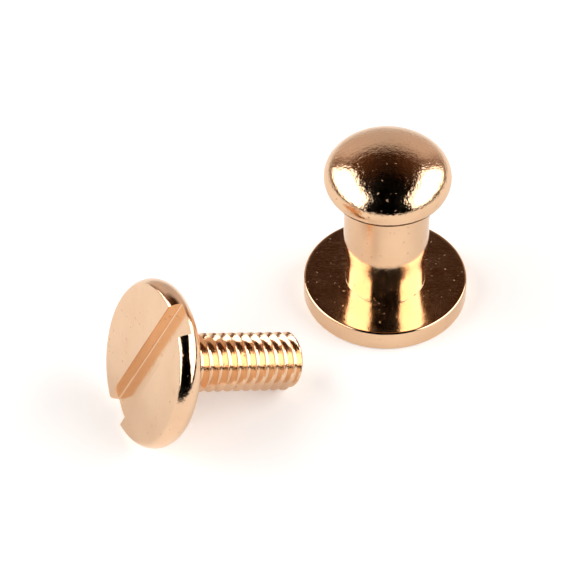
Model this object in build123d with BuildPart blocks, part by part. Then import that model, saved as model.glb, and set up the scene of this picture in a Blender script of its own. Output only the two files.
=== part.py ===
from build123d import *
import os
from math import asin, atan2, cos, hypot, pi, radians, sin

# Binding barrel screw of the button-stud kind, in two turned pieces.
# button_barrel: a flange, a waisted stem and a domed button head in one piece,
#   with a blind M4 hole tapped up its middle from the flange's underside.
# slotted_screw: a flat slotted head on an M4 shank.
# The barrel stands on its flange and the screw lies beside it, unscrewed,
# on the rim of its head and the end of its thread.
# Origin: centre of the flange's underside. +Z up, along the barrel's axis.

# ---- driving dimensions, mm ----
# barrel
flange_r = 5.54          # flange outer radius
flange_t = 1.48          # flange thickness
flange_edge = 0.14       # rounding of the flange's upper edge
flange_foot = 0.12       # rounding of the flange's lower edge
stem_r = 2.69            # stem radius at the waist
stem_top_r = 2.88        # stem radius under the head
flare_z0 = 3.40          # the waist starts to widen
flare_z1 = 5.20          # and is at its full radius here
stem_root = 0.08         # fillet between flange and stem
head_z = 10.07            # underside of the button head
head_rim_r = 4.05        # radius of the head's lower edge
head_eq_r = 4.27         # widest radius of the head
head_eq_z = 10.81        # height of the widest circle
dome_h = 2.275           # dome height above the widest circle
dome_side_r = 1.55       # radius of the arc at the dome's side
tap_r = 1.65             # tapping radius of the M4 x 0.7 hole
tap_depth = 8.4          # full-bore depth
tap_cone = 0.95          # height of the drill point above it
mouth = 0.30             # countersink at the hole's mouth

# screw
thread_r = 2.00 - 0.05   # major radius of the M4 x 0.7 thread
shank_len = 9.56         # from the head's bearing face to the end
tip_c = 0.34             # chamfer at the shank's end
face_r = 5.20            # radius of the head's flat face
side_r = 5.58            # largest radius of the head's rounded side
side_a = 0.80            # its distance in front of the bearing face
back_r = 5.08            # radius of the bearing face's edge
head_t = 1.61            # head thickness
neck_fillet = 0.15       # fillet under the head
slot_w = 2.33            # width of the slot
slot_d = 0.86            # depth of the slot
slot_off = -0.26         # the slot's centre line stands this far off the axis
slot_turn = 13.5         # turn of the slot about the axis, degrees

# where the screw lies
screw_x, screw_y = -14.69, -11.63   # centre of the bearing face, seen from above
screw_heading = 22.11               # direction of the shank in the XY plane, degrees

os.makedirs("parts", exist_ok=True)

# ---- button barrel ----
# the rounded side of the head, from its lower edge to its widest circle
rim_drop = head_eq_z - head_z
rim_rho = ((head_eq_r - head_rim_r) ** 2 + rim_drop ** 2) / (2 * (head_eq_r - head_rim_r))
rim_half = asin(rim_drop / rim_rho) / 2
rim_mid = (head_eq_r - rim_rho + rim_rho * cos(rim_half), head_eq_z - rim_rho * sin(rim_half))

# the dome is an oval of two tangent arcs: a tight one at its side, a flat one on top
side_c = head_eq_r - dome_side_r
dome_top_r = (side_c**2 + dome_h**2 - dome_side_r**2) / (2 * (dome_h - dome_side_r))
top_c = dome_h - dome_top_r
swing = atan2(-top_c, side_c)
dome_side_mid = (side_c + dome_side_r * cos(swing / 2), head_eq_z + dome_side_r * sin(swing / 2))
dome_join = (side_c + dome_side_r * cos(swing), head_eq_z + dome_side_r * sin(swing))
dome_top_mid = (
    dome_top_r * sin((pi / 2 - swing) / 2),
    head_eq_z + top_c + dome_top_r * cos((pi / 2 - swing) / 2),
)

with BuildPart() as button_barrel:
    with BuildSketch(Plane.XZ) as barrel_half:
        with BuildLine():
            Polyline((0, 0), (flange_r, 0), (flange_r, flange_t), (stem_r, flange_t), (stem_r, flare_z0))
            Spline(
                (stem_r, flare_z0), (stem_top_r, flare_z1),
                tangents=[(0, 1), (0, 1)],
            )
            Polyline((stem_top_r, flare_z1), (stem_top_r, head_z), (head_rim_r, head_z))
            ThreePointArc((head_rim_r, head_z), rim_mid, (head_eq_r, head_eq_z))
            ThreePointArc((head_eq_r, head_eq_z), dome_side_mid, dome_join)
            ThreePointArc(dome_join, dome_top_mid, (0, head_eq_z + dome_h))
            Line((0, head_eq_z + dome_h), (0, 0))
        make_face()
    revolve(axis=Axis.Z)
    # rounded edges of the flange, root fillet of the stem, eased lower edge of the head
    fillet(
        button_barrel.edges().filter_by(GeomType.CIRCLE).filter_by(
            lambda e: abs(e.radius - flange_r) < 0.01 and e.center().Z > 1
        ),
        radius=flange_edge,
    )
    fillet(
        button_barrel.edges().filter_by(GeomType.CIRCLE).filter_by(
            lambda e: abs(e.radius - flange_r) < 0.01 and e.center().Z < 0.1
        ),
        radius=flange_foot,
    )
    fillet(
        button_barrel.edges().filter_by(GeomType.CIRCLE).filter_by(
            lambda e: abs(e.radius - stem_r) < 0.01 and abs(e.center().Z - flange_t) < 0.1
        ),
        radius=stem_root,
    )
    # blind tapped hole from the flange's underside, with its drill point and countersunk mouth
    with BuildSketch(Plane.XZ) as hole_half:
        with BuildLine():
            Polyline(
                (0, 0), (tap_r + mouth, 0), (tap_r, mouth), (tap_r, tap_depth),
                (0, tap_depth + tap_cone), (0, 0),
            )
        make_face()
    revolve(axis=Axis.Z, mode=Mode.SUBTRACT)
button_barrel.part.label = "button_barrel"

# ---- slotted screw ----
# Profile in (radius, distance along the axis from the bearing face).
# The head's side is one arc through three points; the screw rests on that arc
# and on the corner of the end chamfer, which sets its tilt and its height.
x1, y1 = face_r, -head_t
x2, y2 = side_r, -side_a
x3, y3 = back_r, 0.0
d = 2 * (x1 * (y2 - y3) + x2 * (y3 - y1) + x3 * (y1 - y2))
arc_r = ((x1**2 + y1**2) * (y2 - y3) + (x2**2 + y2**2) * (y3 - y1) + (x3**2 + y3**2) * (y1 - y2)) / d
arc_a = ((x1**2 + y1**2) * (x3 - x2) + (x2**2 + y2**2) * (x1 - x3) + (x3**2 + y3**2) * (x2 - x1)) / d
arc_rho = hypot(x1 - arc_r, y1 - arc_a)
rest_a = shank_len - tip_c
reach = hypot(arc_r - thread_r, rest_a - arc_a)
tilt = atan2(arc_r - thread_r, rest_a - arc_a) + asin(arc_rho / reach)
screw_z = arc_r * cos(tilt) + arc_a * sin(tilt) + arc_rho

heading = radians(screw_heading)
axis_dir = Vector(cos(tilt) * cos(heading), cos(tilt) * sin(heading), -sin(tilt))
across = Vector(-sin(heading), cos(heading), 0)
bearing = Vector(screw_x, screw_y, screw_z)

# a half-plane that holds the screw's axis, and the plane of the head's face
profile_plane = Plane(origin=bearing, x_dir=across, z_dir=across.cross(axis_dir))
face_plane = Plane(origin=bearing - axis_dir * head_t, x_dir=across, z_dir=-axis_dir)
screw_axis = Axis(bearing, axis_dir)

with BuildPart() as slotted_screw:
    with BuildSketch(profile_plane) as screw_half:
        with BuildLine():
            Line((0, -head_t), (face_r, -head_t))
            ThreePointArc((face_r, -head_t), (side_r, -side_a), (back_r, 0))
            Line((back_r, 0), (thread_r + neck_fillet, 0))
            ThreePointArc(
                (thread_r + neck_fillet, 0),
                (thread_r + neck_fillet * (1 - cos(radians(45))), neck_fillet * (1 - cos(radians(45)))),
                (thread_r, neck_fillet),
            )
            Polyline(
                (thread_r, neck_fillet), (thread_r, shank_len - tip_c),
                (thread_r - tip_c, shank_len), (0, shank_len), (0, -head_t),
            )
        make_face()
    revolve(axis=screw_axis)
    # driver slot, right across the head
    with BuildSketch(face_plane) as slot_sketch:
        # local y of this plane points down the head; the slot is turned from it about the axis
        with Locations(
            (slot_off * cos(radians(slot_turn)), -slot_off * sin(radians(slot_turn)))
        ):
            Rectangle(slot_w, 2.4 * side_r, rotation=-slot_turn)
    extrude(amount=-slot_d, mode=Mode.SUBTRACT)
    # dulled corners where the slot breaks out through the side
    fillet(
        slotted_screw.edges().filter_by(GeomType.LINE).filter_by(
            lambda e: e.length > 4 and abs((e.center() - face_plane.origin).dot(axis_dir)) < 0.02
        ),
        radius=0.05,
    )
slotted_screw.part.label = "slotted_screw"

for piece in (button_barrel, slotted_screw):
    export_step(piece.part, f"parts/{piece.part.label}.step")

print("tilt", tilt * 57.29578, "bearing", tuple(bearing), "axis", tuple(axis_dir))
tip = bearing + axis_dir * (shank_len / 2)
print("shank middle", tuple(tip))
for piece in (button_barrel, slotted_screw):
    b = piece.part.bounding_box()
    print(piece.part.label, b.min, b.max, piece.part.volume)
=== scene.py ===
import math
import bpy
import bmesh
import numpy as np
from mathutils import Vector, Matrix


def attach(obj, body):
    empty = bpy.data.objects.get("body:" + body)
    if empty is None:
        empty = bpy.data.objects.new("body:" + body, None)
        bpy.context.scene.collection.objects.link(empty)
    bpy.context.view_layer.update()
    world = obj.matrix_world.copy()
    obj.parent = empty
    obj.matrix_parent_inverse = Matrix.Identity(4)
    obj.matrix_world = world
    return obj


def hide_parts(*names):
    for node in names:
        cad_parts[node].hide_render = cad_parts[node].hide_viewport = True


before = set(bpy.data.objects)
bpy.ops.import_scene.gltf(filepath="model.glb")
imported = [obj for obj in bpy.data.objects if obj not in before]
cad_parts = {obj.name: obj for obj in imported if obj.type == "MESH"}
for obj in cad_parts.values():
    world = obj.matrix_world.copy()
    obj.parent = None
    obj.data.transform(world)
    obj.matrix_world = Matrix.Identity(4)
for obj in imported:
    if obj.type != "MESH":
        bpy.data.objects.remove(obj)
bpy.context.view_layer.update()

MM = 0.001
scene = bpy.context.scene

# ---------------------------------------------------------------- camera
EL = math.radians(45.39)
ROLL = math.radians(0.12)
DIST = 288.0
TARGET = Vector((-6.605, 0.246, 0.0))
F_PX = 4221.0
fwd = Vector((0, math.cos(EL), -math.sin(EL)))
right = Vector((1, 0, 0))
up = right.cross(fwd)
cam_data = bpy.data.cameras.new("camera")
cam = bpy.data.objects.new("camera", cam_data)
scene.collection.objects.link(cam)
cam_data.sensor_width = 36.0
cam_data.lens = F_PX / 576.0 * 36.0
cam_data.clip_start = 0.01
cam_data.clip_end = 20.0
rot = Matrix((right, up, -fwd)).transposed().to_4x4()
rot = rot @ Matrix.Rotation(ROLL, 4, "Z")
cam.matrix_world = Matrix.Translation((TARGET - fwd * DIST) * MM) @ rot
scene.camera = cam
scene.view_settings.view_transform = "Standard"
scene.view_settings.look = "None"


# ---------------------------------------------------------------- node helpers
def new_mat(name):
    m = bpy.data.materials.new(name)
    m.use_nodes = True
    nt = m.node_tree
    nt.nodes.clear()
    return m, nt


def node(nt, kind, **kw):
    n = nt.nodes.new(kind)
    for k, v in kw.items():
        if k == "inputs":
            for i, val in v.items():
                n.inputs[i].default_value = val
        else:
            setattr(n, k, v)
    return n


def math_node(nt, op, a=None, b=None, clamp=False):
    n = nt.nodes.new("ShaderNodeMath")
    n.operation = op
    n.use_clamp = clamp
    for i, v in enumerate((a, b)):
        if v is None:
            continue
        if isinstance(v, (int, float)):
            n.inputs[i].default_value = v
        else:
            nt.links.new(v, n.inputs[i])
    return n.outputs[0]


def noise(nt, vec, size_mm, detail=2.0, rough=0.5, seed=0.0):
    n = nt.nodes.new("ShaderNodeTexNoise")
    n.noise_dimensions = "4D"
    n.inputs["W"].default_value = seed
    n.inputs["Scale"].default_value = 1.0 / (size_mm * MM)
    n.inputs["Detail"].default_value = detail
    n.inputs["Roughness"].default_value = rough
    nt.links.new(vec, n.inputs["Vector"])
    return n.outputs[0]


def ramp(nt, fac, stops):
    r = nt.nodes.new("ShaderNodeValToRGB")
    r.color_ramp.elements[0].position = stops[0][0]
    r.color_ramp.elements[0].color = stops[0][1]
    r.color_ramp.elements[1].position = stops[-1][0]
    r.color_ramp.elements[1].color = stops[-1][1]
    for p, c in stops[1:-1]:
        e = r.color_ramp.elements.new(p)
        e.color = c
    nt.links.new(fac, r.inputs[0])
    return r.outputs[0]


# ---------------------------------------------------------------- rose-gold plate
def rose_gold(name, seed, peel, pit, scratch, base=(0.875, 0.590, 0.370), rough=0.075, dome=None):
    """Polished plate over turned brass: orange peel, fine grain, scattered pits, hairline scratches,
    slightly uneven colour, and roughness that varies in cloudy patches. dome is (height in mm, peel above it)
    where a part of the piece was polished more coarsely."""
    m, nt = new_mat(name)
    tc = node(nt, "ShaderNodeTexCoord")
    vec = tc.outputs["Object"]
    bsdf = node(nt, "ShaderNodeBsdfPrincipled")
    out = node(nt, "ShaderNodeOutputMaterial")
    bsdf.inputs["Metallic"].default_value = 1.0
    # colour: warm base, with faint redder and yellower clouds and darker specks in the pits
    cloud = noise(nt, vec, 2.6, 3.0, 0.55, seed)
    fine = noise(nt, vec, 0.22, 2.0, 0.6, seed + 3.1)
    b = base
    col = ramp(nt, cloud, [
        (0.30, (b[0] * 0.965, b[1] * 0.93, b[2] * 0.90, 1)),
        (0.52, (b[0], b[1], b[2], 1)),
        (0.72, (min(b[0] * 1.03, 1), b[1] * 1.045, b[2] * 1.04, 1)),
    ])
    vor = node(nt, "ShaderNodeTexVoronoi")
    vor.voronoi_dimensions = "3D"
    vor.feature = "F1"
    vor.inputs["Scale"].default_value = 1.0 / (0.30 * MM)
    vor.inputs["Randomness"].default_value = 1.0
    # pits are ragged, so the cells are looked up with a small jitter
    jit = nt.nodes.new("ShaderNodeTexNoise")
    jit.inputs["Scale"].default_value = 1.0 / (0.10 * MM)
    jit.inputs["Detail"].default_value = 2.0
    nt.links.new(vec, jit.inputs["Vector"])
    jv = node(nt, "ShaderNodeVectorMath", operation="MULTIPLY_ADD")
    nt.links.new(jit.outputs["Color"], jv.inputs[0])
    jv.inputs[1].default_value = (0.00022, 0.00022, 0.00022)
    nt.links.new(vec, jv.inputs[2])
    nt.links.new(jv.outputs[0], vor.inputs["Vector"])
    # only some cells hold a pit, and pits differ in size
    cell = node(nt, "ShaderNodeSeparateColor")
    nt.links.new(vor.outputs["Color"], cell.inputs[0])
    reach = math_node(nt, "MULTIPLY", math_node(nt, "SUBTRACT", cell.outputs[0], 0.60, True), 0.66)
    inside = math_node(nt, "SUBTRACT", reach, vor.outputs["Distance"], True)
    pits = math_node(nt, "MULTIPLY", inside, 9.0, True)
    speck = node(nt, "ShaderNodeMix")
    speck.data_type = "RGBA"
    speck.blend_type = "MULTIPLY"
    nt.links.new(math_node(nt, "MULTIPLY", pits, 0.45), speck.inputs["Factor"])
    nt.links.new(col, speck.inputs[6])
    speck.inputs[7].default_value = (0.62, 0.42, 0.30, 1)
    nt.links.new(speck.outputs[2], bsdf.inputs["Base Color"])
    # roughness
    cloud2 = noise(nt, vec, 1.1, 3.0, 0.6, seed + 7.7)
    r1 = math_node(nt, "MULTIPLY", math_node(nt, "SUBTRACT", cloud2, 0.35, True), 0.16)
    r2 = math_node(nt, "MULTIPLY", math_node(nt, "SUBTRACT", fine, 0.45, True), 0.20)
    rr = math_node(nt, "ADD", math_node(nt, "ADD", r1, r2), rough)
    rr = math_node(nt, "ADD", rr, math_node(nt, "MULTIPLY", pits, 0.25), True)
    nt.links.new(rr, bsdf.inputs["Roughness"])
    # bump: long soft waviness, orange peel, grain, pits, hairlines
    wav = noise(nt, vec, 1.9, 1.0, 0.5, seed + 11.0)
    pl = noise(nt, vec, 0.30, 2.5, 0.55, seed + 13.0)
    grain = noise(nt, vec, 0.11, 1.5, 0.55, seed + 17.0)
    stretch = node(nt, "ShaderNodeMapping")
    stretch.inputs["Scale"].default_value = (1.0, 14.0, 14.0)
    stretch.inputs["Rotation"].default_value = (0.5, 0.35, 0.9)
    nt.links.new(vec, stretch.inputs["Vector"])
    hair = noise(nt, stretch.outputs[0], 1.6, 2.0, 0.6, seed + 19.0)
    hairline = math_node(nt, "SUBTRACT", 1.0, math_node(nt, "MULTIPLY", math_node(nt, "ABSOLUTE", math_node(nt, "SUBTRACT", hair, 0.5)), 26.0), True)
    h = math_node(nt, "MULTIPLY", math_node(nt, "SUBTRACT", wav, 0.5), 0.012 * peel)
    h = math_node(nt, "ADD", h, math_node(nt, "MULTIPLY", math_node(nt, "SUBTRACT", pl, 0.5), 0.018 * peel))
    h = math_node(nt, "ADD", h, math_node(nt, "MULTIPLY", math_node(nt, "SUBTRACT", grain, 0.5), 0.0085 * peel))
    if dome:
        sz = node(nt, "ShaderNodeSeparateXYZ")
        nt.links.new(vec, sz.inputs[0])
        k = math_node(nt, "MULTIPLY", math_node(nt, "SUBTRACT", sz.outputs[2], dome[0] * MM), 1 / (1.3 * MM), True)
        h = math_node(nt, "MULTIPLY", h, math_node(nt, "ADD", math_node(nt, "MULTIPLY", k, dome[1] / peel - 1.0), 1.0))
    h = math_node(nt, "SUBTRACT", h, math_node(nt, "MULTIPLY", pits, 0.016 * pit))
    h = math_node(nt, "SUBTRACT", h, math_node(nt, "MULTIPLY", hairline, 0.0004 * scratch))
    bump = node(nt, "ShaderNodeBump")
    bump.inputs["Strength"].default_value = 1.0
    bump.inputs["Distance"].default_value = MM  # heights above are in millimetres
    nt.links.new(h, bump.inputs["Height"])
    nt.links.new(bump.outputs[0], bsdf.inputs["Normal"])
    nt.links.new(bsdf.outputs[0], out.inputs[0])
    return m


mat_barrel = rose_gold("rose_gold_barrel", 1.0, 0.26, 0.45, 1.0, dome=(9.9, 1.35))
mat_screw = rose_gold("rose_gold_screw", 5.0, 0.50, 0.6, 1.2, base=(0.885, 0.610, 0.400))


# ---------------------------------------------------------------- mesh helpers
def mesh_object(name, verts, faces, smooth=True):
    me = bpy.data.meshes.new(name)
    me.from_pydata([tuple(v) for v in verts], [], faces)
    me.update()
    ob = bpy.data.objects.new(name, me)
    scene.collection.objects.link(ob)
    if smooth:
        me.polygons.foreach_set("use_smooth", [True] * len(me.polygons))
    return ob


def clean(ob, dist=2e-7):
    bm = bmesh.new()
    bm.from_mesh(ob.data)
    bmesh.ops.remove_doubles(bm, verts=bm.verts, dist=dist)
    bmesh.ops.dissolve_degenerate(bm, edges=bm.edges, dist=dist)
    bmesh.ops.recalc_face_normals(bm, faces=bm.faces)
    bm.to_mesh(ob.data)
    bm.free()
    ob.data.update()


def sharp_by_angle(ob, deg):
    me = ob.data
    me.polygons.foreach_set("use_smooth", [True] * len(me.polygons))
    me.set_sharp_from_angle(angle=math.radians(deg))


def arc_pts(c, r, a0, a1, n, rz=None):
    rz = r if rz is None else rz
    return [(c[0] + r * math.cos(a0 + (a1 - a0) * i / n), c[1] + rz * math.sin(a0 + (a1 - a0) * i / n)) for i in range(n + 1)]


def lathe(profile, n, to_world, verts, faces, closed_start=False, closed_end=False):
    """Adds rings for (r, a) pairs; the first or last may be closed by a fan at the axis."""
    base = len(verts)
    for r, a in profile:
        for j in range(n):
            t = 2 * math.pi * j / n
            verts.append(to_world(r * math.cos(t), r * math.sin(t), a))
    for i in range(len(profile) - 1):
        for j in range(n):
            k = (j + 1) % n
            faces.append((base + i * n + j, base + i * n + k, base + (i + 1) * n + k, base + (i + 1) * n + j))
    if closed_start:
        verts.append(to_world(0, 0, profile[0][1]))
        c = len(verts) - 1
        for j in range(n):
            faces.append((c, base + (j + 1) % n, base + j))
    if closed_end:
        verts.append(to_world(0, 0, profile[-1][1]))
        c = len(verts) - 1
        e = base + (len(profile) - 1) * n
        for j in range(n):
            faces.append((c, e + j, e + (j + 1) % n))


def helix(n, pitch, a0, a1, keys, radius, to_world, verts, faces, start_phase=0.0):
    """A right-handed thread surface, its rows along the helix: keys are the positions of the rows in one pitch,
    radius(s, a) gives the radius at phase s and distance a. Rows are held between a0 and a1."""
    base = len(verts)
    K = len(keys)
    turns = int(math.ceil((a1 - a0) / pitch)) + 2
    rows = [(m - 1) * pitch + k + a0 + start_phase for m in range(turns + 1) for k in keys]
    for s in rows:
        ph = (s - a0 - start_phase) % pitch
        for j in range(n):
            t = 2 * math.pi * j / n
            a = s + pitch * j / n
            a = min(max(a, a0), a1)
            r = radius(ph, a)
            verts.append(to_world(r * math.cos(t), r * math.sin(t), a))
    R = len(rows)
    for i in range(R - 1):
        for j in range(n):
            if j < n - 1:
                q = (base + i * n + j, base + i * n + j + 1, base + (i + 1) * n + j + 1, base + (i + 1) * n + j)
            else:
                if i + K + 1 >= R:
                    continue
                q = (base + i * n + j, base + (i + K) * n, base + (i + K + 1) * n, base + (i + 1) * n + j)
            faces.append(q)


def smooth_step(x, e0, e1):
    t = min(max((x - e0) / (e1 - e0), 0.0), 1.0)
    return t * t * (3 - 2 * t)


# ---------------------------------------------------------------- button barrel
NB = 192
flange_r, flange_t = 5.54, 1.48
stem_r, stem_top_r = 2.69, 2.88
head_z, head_rim_r, head_eq_r, head_eq_z, dome_h = 10.07, 4.05, 4.27, 10.81, 2.275
edge_r, foot_r, root_r = 0.15, 0.12, 0.025
mouth_r, tap_depth, cone_h = 1.65 + 0.30, 8.4, 0.95

prof = []
prof += [(mouth_r, 0.0), (2.2, 0.0), (3.0, 0.0), (4.2, 0.0), (5.2, 0.0)]
prof += arc_pts((flange_r - foot_r, foot_r), foot_r, -math.pi / 2, 0, 6)
prof += [(flange_r, 0.45), (flange_r, 0.85), (flange_r, 1.2)]
prof += arc_pts((flange_r - edge_r, flange_t - edge_r), edge_r, 0, math.pi / 2, 12)
prof += [(5.2, flange_t), (4.6, flange_t), (4.0, flange_t), (3.4, flange_t)]
prof += [(stem_r + root_r - root_r * math.sin(t), flange_t + root_r - root_r * math.cos(t)) for t in [math.pi / 2 * i / 8 for i in range(9)]]
for i in range(1, 34):
    z = flange_t + root_r + (head_z - 0.12 - flange_t - root_r) * i / 33
    prof.append((stem_r + (stem_top_r - stem_r) * smooth_step(z, 3.0, 5.6), z))
# small fillet under the head, its flat underside, and the eased lower edge
prof += [(stem_top_r + 0.12 - 0.12 * math.cos(t), head_z - 0.12 + 0.12 * math.sin(t)) for t in [math.pi / 2 * i / 5 for i in range(1, 6)]]
prof += [(3.4, head_z), (3.85, head_z)]
rho = ((head_eq_r - head_rim_r) ** 2 + (head_eq_z - head_z) ** 2) / (2 * (head_eq_r - head_rim_r))
a_low = math.asin((head_eq_z - head_z) / rho)
e = 0.05
prof += [(head_rim_r - e, head_z), (head_rim_r - e * 0.35, head_z + e * 0.12)]
prof += [(head_eq_r - rho + rho * math.cos(-a_low + a_low * i / 10), head_eq_z + rho * math.sin(-a_low + a_low * i / 10)) for i in range(0, 11)][1:]
dome_n = 44
for i in range(1, dome_n):
    t = math.pi / 2 * i / dome_n
    prof.append((head_eq_r * math.cos(t), head_eq_z + dome_h * math.sin(t)))
prof.append((0.0, head_eq_z + dome_h))

verts, faces = [], []
up_world = lambda x, y, z: (x * MM, y * MM, z * MM)
lathe(prof[:-1], NB, up_world, verts, faces)
verts.append((0, 0, prof[-1][1] * MM))
c = len(verts) - 1
top = (len(prof) - 2) * NB
for j in range(NB):
    faces.append((c, top + j, top + (j + 1) % NB))

# tapped hole: M4 x 0.7 right-hand, crests at 1.65, roots at 2.0, fading out above the full thread
P = 0.7


def thread_wave(ph, lo, hi, crest, root):
    """Radius of a 60-degree thread at phase ph: crest width, two flanks, root width."""
    fl = (P - crest - root) / 2
    if ph < crest:
        k = 1.0
    elif ph < crest + fl:
        k = 1 - (ph - crest) / fl
    elif ph < crest + fl + root:
        k = 0.0
    else:
        k = (ph - crest - fl - root) / fl
    return lo + (hi - lo) * k


def hole_radius(ph, a):
    depth = thread_wave(ph, 0.0, 0.33, 0.0875, 0.0875 * 2)
    fade = 1 - smooth_step(a, 6.6, 7.4)
    r = 1.655 + depth * fade
    cone = mouth_r - a          # countersink, 45 degrees
    if a < 0.5:
        r = max(r, cone + 0.0)
    if a <= 1e-9:
        r = mouth_r
    if a >= tap_depth - 1e-9:
        r = 1.655
    return min(r, mouth_r + 0.04) if a < 0.12 else r


keysb = [i * P / 14 for i in range(14)]
helix(NB, P, 0.0, tap_depth, keysb, hole_radius, up_world, verts, faces)
# drill point
b = len(verts)
for j in range(NB):
    t = 2 * math.pi * j / NB
    verts.append((1.655 * math.cos(t) * MM, 1.655 * math.sin(t) * MM, tap_depth * MM))
verts.append((0, 0, (tap_depth + cone_h) * MM))
for j in range(NB):
    faces.append((b + (j + 1) % NB, b + j, b + NB))
barrel = mesh_object("barrel_finished", verts, faces)
clean(barrel)
sharp_by_angle(barrel, 42)

# ---------------------------------------------------------------- slotted screw
bearing = Vector((-14.69, -11.63, 5.007379351426744))
axis = Vector((0.8697325118500755, 0.35333858898420606, -0.34455362335289474)).normalized()
across = Vector((-axis.y, axis.x, 0)).normalized()
upslope = axis.cross(across).normalized()


def on_screw(x, y, a):
    p = bearing + across * x + upslope * y + axis * a
    return (p.x * MM, p.y * MM, p.z * MM)


NS = 256
face_r, head_t, side_r, side_a, back_r = 5.20, 1.61, 5.58, 0.80, 5.08
thread_r, shank_len, tip_c, neck = 1.95, 9.56, 0.34, 0.15
x1, y1, x2, y2, x3, y3 = face_r, -head_t, side_r, -side_a, back_r, 0.0
d = 2 * (x1 * (y2 - y3) + x2 * (y3 - y1) + x3 * (y1 - y2))
arc_r = ((x1**2 + y1**2) * (y2 - y3) + (x2**2 + y2**2) * (y3 - y1) + (x3**2 + y3**2) * (y1 - y2)) / d
arc_a = ((x1**2 + y1**2) * (x3 - x2) + (x2**2 + y2**2) * (x1 - x3) + (x3**2 + y3**2) * (x2 - x1)) / d
arc_rho = math.hypot(x1 - arc_r, y1 - arc_a)
t0 = math.atan2(y1 - arc_a, x1 - arc_r)
t1 = math.atan2(y3 - arc_a, x3 - arc_r)

head = [(4.9, -head_t), (face_r - 0.06, -head_t), (face_r - 0.018, -head_t + 0.012)]
head += arc_pts((arc_r, arc_a), arc_rho, t0 + 0.04, t1 - 0.03, 26)
head += [(back_r - 0.05, 0.0), (4.4, 0.0), (3.4, 0.0), (2.6, 0.0)]
neck_r0 = thread_r + neck
head += [(neck_r0, 0.0)]
verts, faces = [], []
lathe(head, NS, on_screw, verts, faces)
# flat face of the head, as one polygon
faces.append(tuple(range(NS)))


def shank_radius(ph, a):
    root_r, crest_r = 1.545, thread_r
    crest, root = 0.055, 0.11
    r = thread_wave(ph, root_r, crest_r, crest, root)
    # crest edges and roots are slightly rounded by rolling and plating
    k = (r - root_r) / (crest_r - root_r)
    r = root_r + (crest_r - root_r) * (k * 0.94 + 0.06 * (0.5 - 0.5 * math.cos(math.pi * k)))
    # the thread starts out of the neck
    f = smooth_step(a, 0.05, 0.55)
    r = root_r + 0.18 + (r - root_r - 0.18) * f if f < 1 else r
    # fillet under the head
    if a < neck + 0.15:
        r = max(r, neck_r0 - (neck + 0.15) * math.sqrt(max(0.0, 1 - (1 - a / (neck + 0.15)) ** 2)) * 1.0)
    if a <= 1e-9:
        r = neck_r0
    # end chamfer
    z0 = shank_len - tip_c
    if a > z0:
        lim = thread_r - (a - z0) * 0.98
        if a > shank_len - 0.05:
            lim = min(lim, 1.655 - (a - shank_len + 0.05) * 2.6)
        r = min(r, lim)
    if a >= shank_len - 1e-9:
        r = 1.50
    return r


helix(NS, P, 0.0, shank_len, [0.0, 0.0275, 0.055, 0.12, 0.19, 0.26, 0.3225, 0.35, 0.3775, 0.405, 0.4325, 0.50, 0.57, 0.635], shank_radius, on_screw, verts, faces)
# end of the shank, very slightly dished
b = len(verts)
for i, (r, a) in enumerate([(1.50, shank_len), (1.2, shank_len), (0.6, shank_len - 0.03)]):
    for j in range(NS):
        t = 2 * math.pi * j / NS
        verts.append(on_screw(r * math.cos(t), r * math.sin(t), a))
for i in range(2):
    for j in range(NS):
        k = (j + 1) % NS
        faces.append((b + i * NS + j, b + i * NS + k, b + (i + 1) * NS + k, b + (i + 1) * NS + j))
verts.append(on_screw(0, 0, shank_len - 0.04))
for j in range(NS):
    faces.append((b + 2 * NS + j, b + 2 * NS + (j + 1) % NS, len(verts) - 1))
screw = mesh_object("screw_finished", verts, faces)
clean(screw)

# driver slot, right across the head: a cutter with eased lower corners
slot_w, slot_d, slot_off, slot_turn = 2.33, 0.86, -0.26, math.radians(13.5)
# in (across, upslope): the slot's normal and its long direction
n_p, n_q = math.cos(slot_turn), math.sin(slot_turn)
l_p, l_q = math.sin(slot_turn), -math.cos(slot_turn)
bm = bmesh.new()
sect = [(-slot_w / 2, -1.0), (slot_w / 2, -1.0)]
q = 0.10
sect += [(slot_w / 2 - q + q * math.cos(t), slot_d - q + q * math.sin(t)) for t in [math.pi / 2 * i / 4 for i in range(5)]]
sect += [(-slot_w / 2 + q - q * math.cos(t), slot_d - q + q * math.sin(t)) for t in [math.pi / 2 * (4 - i) / 4 for i in range(5)]]
rings = []
for s in (-7.5, 7.5):
    ring = []
    for n_, dep in sect:
        x = n_p * (n_ + slot_off) + l_p * s
        y = n_q * (n_ + slot_off) + l_q * s
        ring.append(bm.verts.new(on_screw(x, y, -head_t + dep)))
    rings.append(ring)
m_ = len(sect)
for i in range(m_):
    bm.faces.new((rings[0][i], rings[0][(i + 1) % m_], rings[1][(i + 1) % m_], rings[1][i]))
bm.faces.new(rings[0])
bm.faces.new(list(reversed(rings[1])))
bmesh.ops.recalc_face_normals(bm, faces=bm.faces)
cut_me = bpy.data.meshes.new("cutter")
bm.to_mesh(cut_me)
bm.free()
cutter = bpy.data.objects.new("cutter", cut_me)
scene.collection.objects.link(cutter)


def apply_modifiers(ob):
    dg = bpy.context.evaluated_depsgraph_get()
    me = bpy.data.meshes.new_from_object(ob.evaluated_get(dg))
    old = ob.data
    ob.modifiers.clear()
    ob.data = me
    bpy.data.meshes.remove(old)


mod = screw.modifiers.new("slot", "BOOLEAN")
mod.operation = "DIFFERENCE"
mod.solver = "EXACT"
mod.object = cutter
apply_modifiers(screw)
bpy.data.objects.remove(cutter)

# dull the corners that the slot left at the face
bm = bmesh.new()
bm.from_mesh(screw.data)
bmesh.ops.remove_doubles(bm, verts=bm.verts, dist=2e-7)


def local(p):
    dlt = Vector(p) / MM - bearing
    x, y, a = dlt.dot(across), dlt.dot(upslope), dlt.dot(axis)
    n_ = x * n_p + y * n_q - slot_off
    return x, y, a, n_


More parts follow.
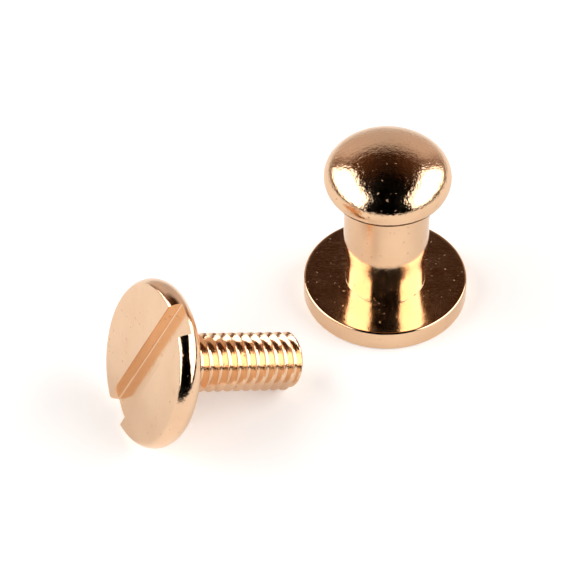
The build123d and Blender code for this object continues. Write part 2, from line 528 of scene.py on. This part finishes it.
edges = []
for ed in bm.edges:
    if len(ed.link_faces) != 2:
        continue
    if ed.calc_face_angle(0) < math.radians(35):
        continue
    l0, l1 = local(ed.verts[0].co), local(ed.verts[1].co)
    on_wall = abs(abs(l0[3]) - slot_w / 2) < 0.012 and abs(abs(l1[3]) - slot_w / 2) < 0.012
    on_top = l0[2] < -head_t + 0.02 and l1[2] < -head_t + 0.02
    if on_wall and on_top and l0[3] * l1[3] > 0:
        edges.append(ed)
bmesh.ops.bevel(bm, geom=edges, offset=0.055 * MM, segments=3, profile=0.6, affect="EDGES", clamp_overlap=True)
bm.to_mesh(screw.data)
bm.free()
sharp_by_angle(screw, 32)

# ---------------------------------------------------------------- ride, replace, dress
for ob, cad, mat, slot in ((barrel, "button_barrel", mat_barrel, "barrel_metal"), (screw, "slotted_screw", mat_screw, "screw_metal")):
    ob.data.materials.clear()
    ob.data.materials.append(mat)
    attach(ob, "root")
    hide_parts(cad)
    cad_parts[cad].data.materials.clear()
    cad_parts[cad].data.materials.append(mat)

# ---------------------------------------------------------------- floor
m_floor, nt = new_mat("floor_white")
tc = node(nt, "ShaderNodeTexCoord")
bs = node(nt, "ShaderNodeBsdfPrincipled")
bs.inputs["Roughness"].default_value = 0.9
bs.inputs["Specular IOR Level"].default_value = 0.0
fn = noise(nt, tc.outputs["Object"], 40.0, 2.0, 0.5, 2.0)
fsep = node(nt, "ShaderNodeSeparateXYZ")
nt.links.new(tc.outputs["Object"], fsep.inputs[0])
# painted shade: beyond 34 mm behind the object the sheet's colour darkens towards (0.50, 0.46, 0.45), and its glow is
# cut below, where less light falls
far = math_node(nt, "MULTIPLY", math_node(nt, "SUBTRACT", fsep.outputs[1], 0.034), 1 / 0.10, True)
fc = ramp(nt, fn, [(0.3, (0.82, 0.812, 0.805, 1)), (0.7, (0.86, 0.852, 0.845, 1))])
fmix = node(nt, "ShaderNodeMix")
fmix.data_type = "RGBA"
nt.links.new(far, fmix.inputs["Factor"])
nt.links.new(fc, fmix.inputs[6])
fmix.inputs[7].default_value = (0.50, 0.46, 0.45, 1)
# the photo is exposed so that the sheet itself is burnt out, more than the metal's reflections of it show
seen = node(nt, "ShaderNodeLightPath").outputs["Is Camera Ray"]
lift = math_node(nt, "ADD", math_node(nt, "MULTIPLY", seen, 0.17), 1.0)
fl = node(nt, "ShaderNodeVectorMath", operation="SCALE")
nt.links.new(fmix.outputs[2], fl.inputs[0])
nt.links.new(lift, fl.inputs["Scale"])
nt.links.new(fl.outputs["Vector"], bs.inputs["Base Color"])
# the sheet is lit from further lamps too: its own glow grows with distance, less so behind
vl = node(nt, "ShaderNodeVectorMath")
vl.operation = "LENGTH"
nt.links.new(tc.outputs["Object"], vl.inputs[0])
grow = math_node(nt, "MULTIPLY", math_node(nt, "SUBTRACT", vl.outputs["Value"], 0.12), 1.3, True)
glow = math_node(nt, "ADD", math_node(nt, "MULTIPLY", grow, 0.42), 0.20)
glow = math_node(nt, "MULTIPLY", glow, math_node(nt, "SUBTRACT", 1.0, math_node(nt, "MULTIPLY", far, 0.45)))
glow = math_node(nt, "ADD", math_node(nt, "MULTIPLY", glow, lift), math_node(nt, "MULTIPLY", seen, 0.03))
nt.links.new(glow, bs.inputs["Emission Strength"])
bs.inputs["Emission Color"].default_value = (1.0, 0.985, 0.97, 1)
fo = node(nt, "ShaderNodeOutputMaterial")
nt.links.new(bs.outputs[0], fo.inputs[0])
S = 1.6
floor = mesh_object("floor", [(-S, -S, 0), (S, -S, 0), (S, S, 0), (-S, S, 0)], [(0, 1, 2, 3)], smooth=False)
floor.data.materials.append(m_floor)

# ---------------------------------------------------------------- studio
world = bpy.data.worlds.new("studio")
scene.world = world
world.use_nodes = True
nt = world.node_tree
nt.nodes.clear()
geo = node(nt, "ShaderNodeTexCoord")
sep = node(nt, "ShaderNodeSeparateXYZ")
nt.links.new(geo.outputs["Generated"], sep.inputs[0])
DX, DY, DZ = sep.outputs[0], sep.outputs[1], sep.outputs[2]
# elevation from its sine, azimuth about +Z from +Y towards +X, in degrees
elev = math_node(nt, "MULTIPLY", math_node(nt, "ARCSINE", DZ), 57.2958)
azim = math_node(nt, "MULTIPLY", math_node(nt, "ARCTAN2", DX, DY), 57.2958)
absaz = math_node(nt, "ABSOLUTE", azim)


def band(x, lo, hi, soft):
    a = math_node(nt, "MULTIPLY", math_node(nt, "SUBTRACT", x, lo), 1.0 / soft, True)
    b_ = math_node(nt, "MULTIPLY", math_node(nt, "SUBTRACT", hi, x), 1.0 / soft, True)
    return math_node(nt, "MULTIPLY", a, b_)


# grey back wall, seen low behind the object; dark room elsewhere
wall = math_node(nt, "MULTIPLY", band(absaz, -20.0, 48.0, 18.0), band(elev, -14.0, 43.0, 12.0))
wall = math_node(nt, "MULTIPLY", wall, 0.52)
room = math_node(nt, "ADD", wall, 0.0)
below = math_node(nt, "MULTIPLY", math_node(nt, "SUBTRACT", 0.5, elev), 1.0, True)
room = math_node(nt, "ADD", room, math_node(nt, "MULTIPLY", below, 0.95))
bg_room = node(nt, "ShaderNodeBackground")
tint = node(nt, "ShaderNodeCombineColor")
# the room itself is a dim warm brown, darker towards the ceiling
dim = math_node(nt, "MULTIPLY", band(elev, -200.0, 75.0, 45.0), band(absaz, -20.0, 110.0, 50.0))
nt.links.new(math_node(nt, "ADD", room, math_node(nt, "MULTIPLY", dim, 0.155)), tint.inputs[0])
nt.links.new(math_node(nt, "ADD", math_node(nt, "MULTIPLY", room, 0.93), math_node(nt, "MULTIPLY", dim, 0.066)), tint.inputs[1])
nt.links.new(math_node(nt, "ADD", math_node(nt, "MULTIPLY", room, 0.90), math_node(nt, "MULTIPLY", dim, 0.030)), tint.inputs[2])
nt.links.new(tint.outputs[0], bg_room.inputs[0])
bg_cam = node(nt, "ShaderNodeBackground")
bg_cam.inputs[0].default_value = (0.93, 0.92, 0.91, 1)
lp = node(nt, "ShaderNodeLightPath")
mix = node(nt, "ShaderNodeMixShader")
nt.links.new(lp.outputs["Is Camera Ray"], mix.inputs[0])
nt.links.new(bg_room.outputs[0], mix.inputs[1])
nt.links.new(bg_cam.outputs[0], mix.inputs[2])
wo = node(nt, "ShaderNodeOutputWorld")
nt.links.new(mix.outputs[0], wo.inputs[0])


def softbox(name, az0, az1, el0, el1, dist, radiance, colour=(1, 1, 1)):
    """An upright softbox that covers azimuth az0..az1 and, at its middle, elevation el0..el1 as seen from the object."""
    az = math.radians((az0 + az1) / 2)
    out = Vector((math.sin(az), math.cos(az), 0.0))
    lo, hi = dist * math.tan(math.radians(el0)), dist * math.tan(math.radians(el1))
    ld = bpy.data.lights.new(name, "AREA")
    ld.shape = "RECTANGLE"
    ld.size = 2 * dist * math.tan(math.radians(abs(az1 - az0) / 2))
    ld.size_y = hi - lo
    ld.energy = radiance * math.pi * ld.size * ld.size_y
    ld.color = colour
    ob = bpy.data.objects.new(name, ld)
    scene.collection.objects.link(ob)
    ob.location = out * dist + Vector((0, 0, (lo + hi) / 2))
    ob.rotation_euler = out.to_track_quat("Z", "Y").to_euler()
    ob.visible_camera = False
    return ob


softbox("soft_right", 52, 136, 13, 56, 0.5, 3.15)
softbox("soft_left", 308, 224, 13, 58, 0.5, 3.15)
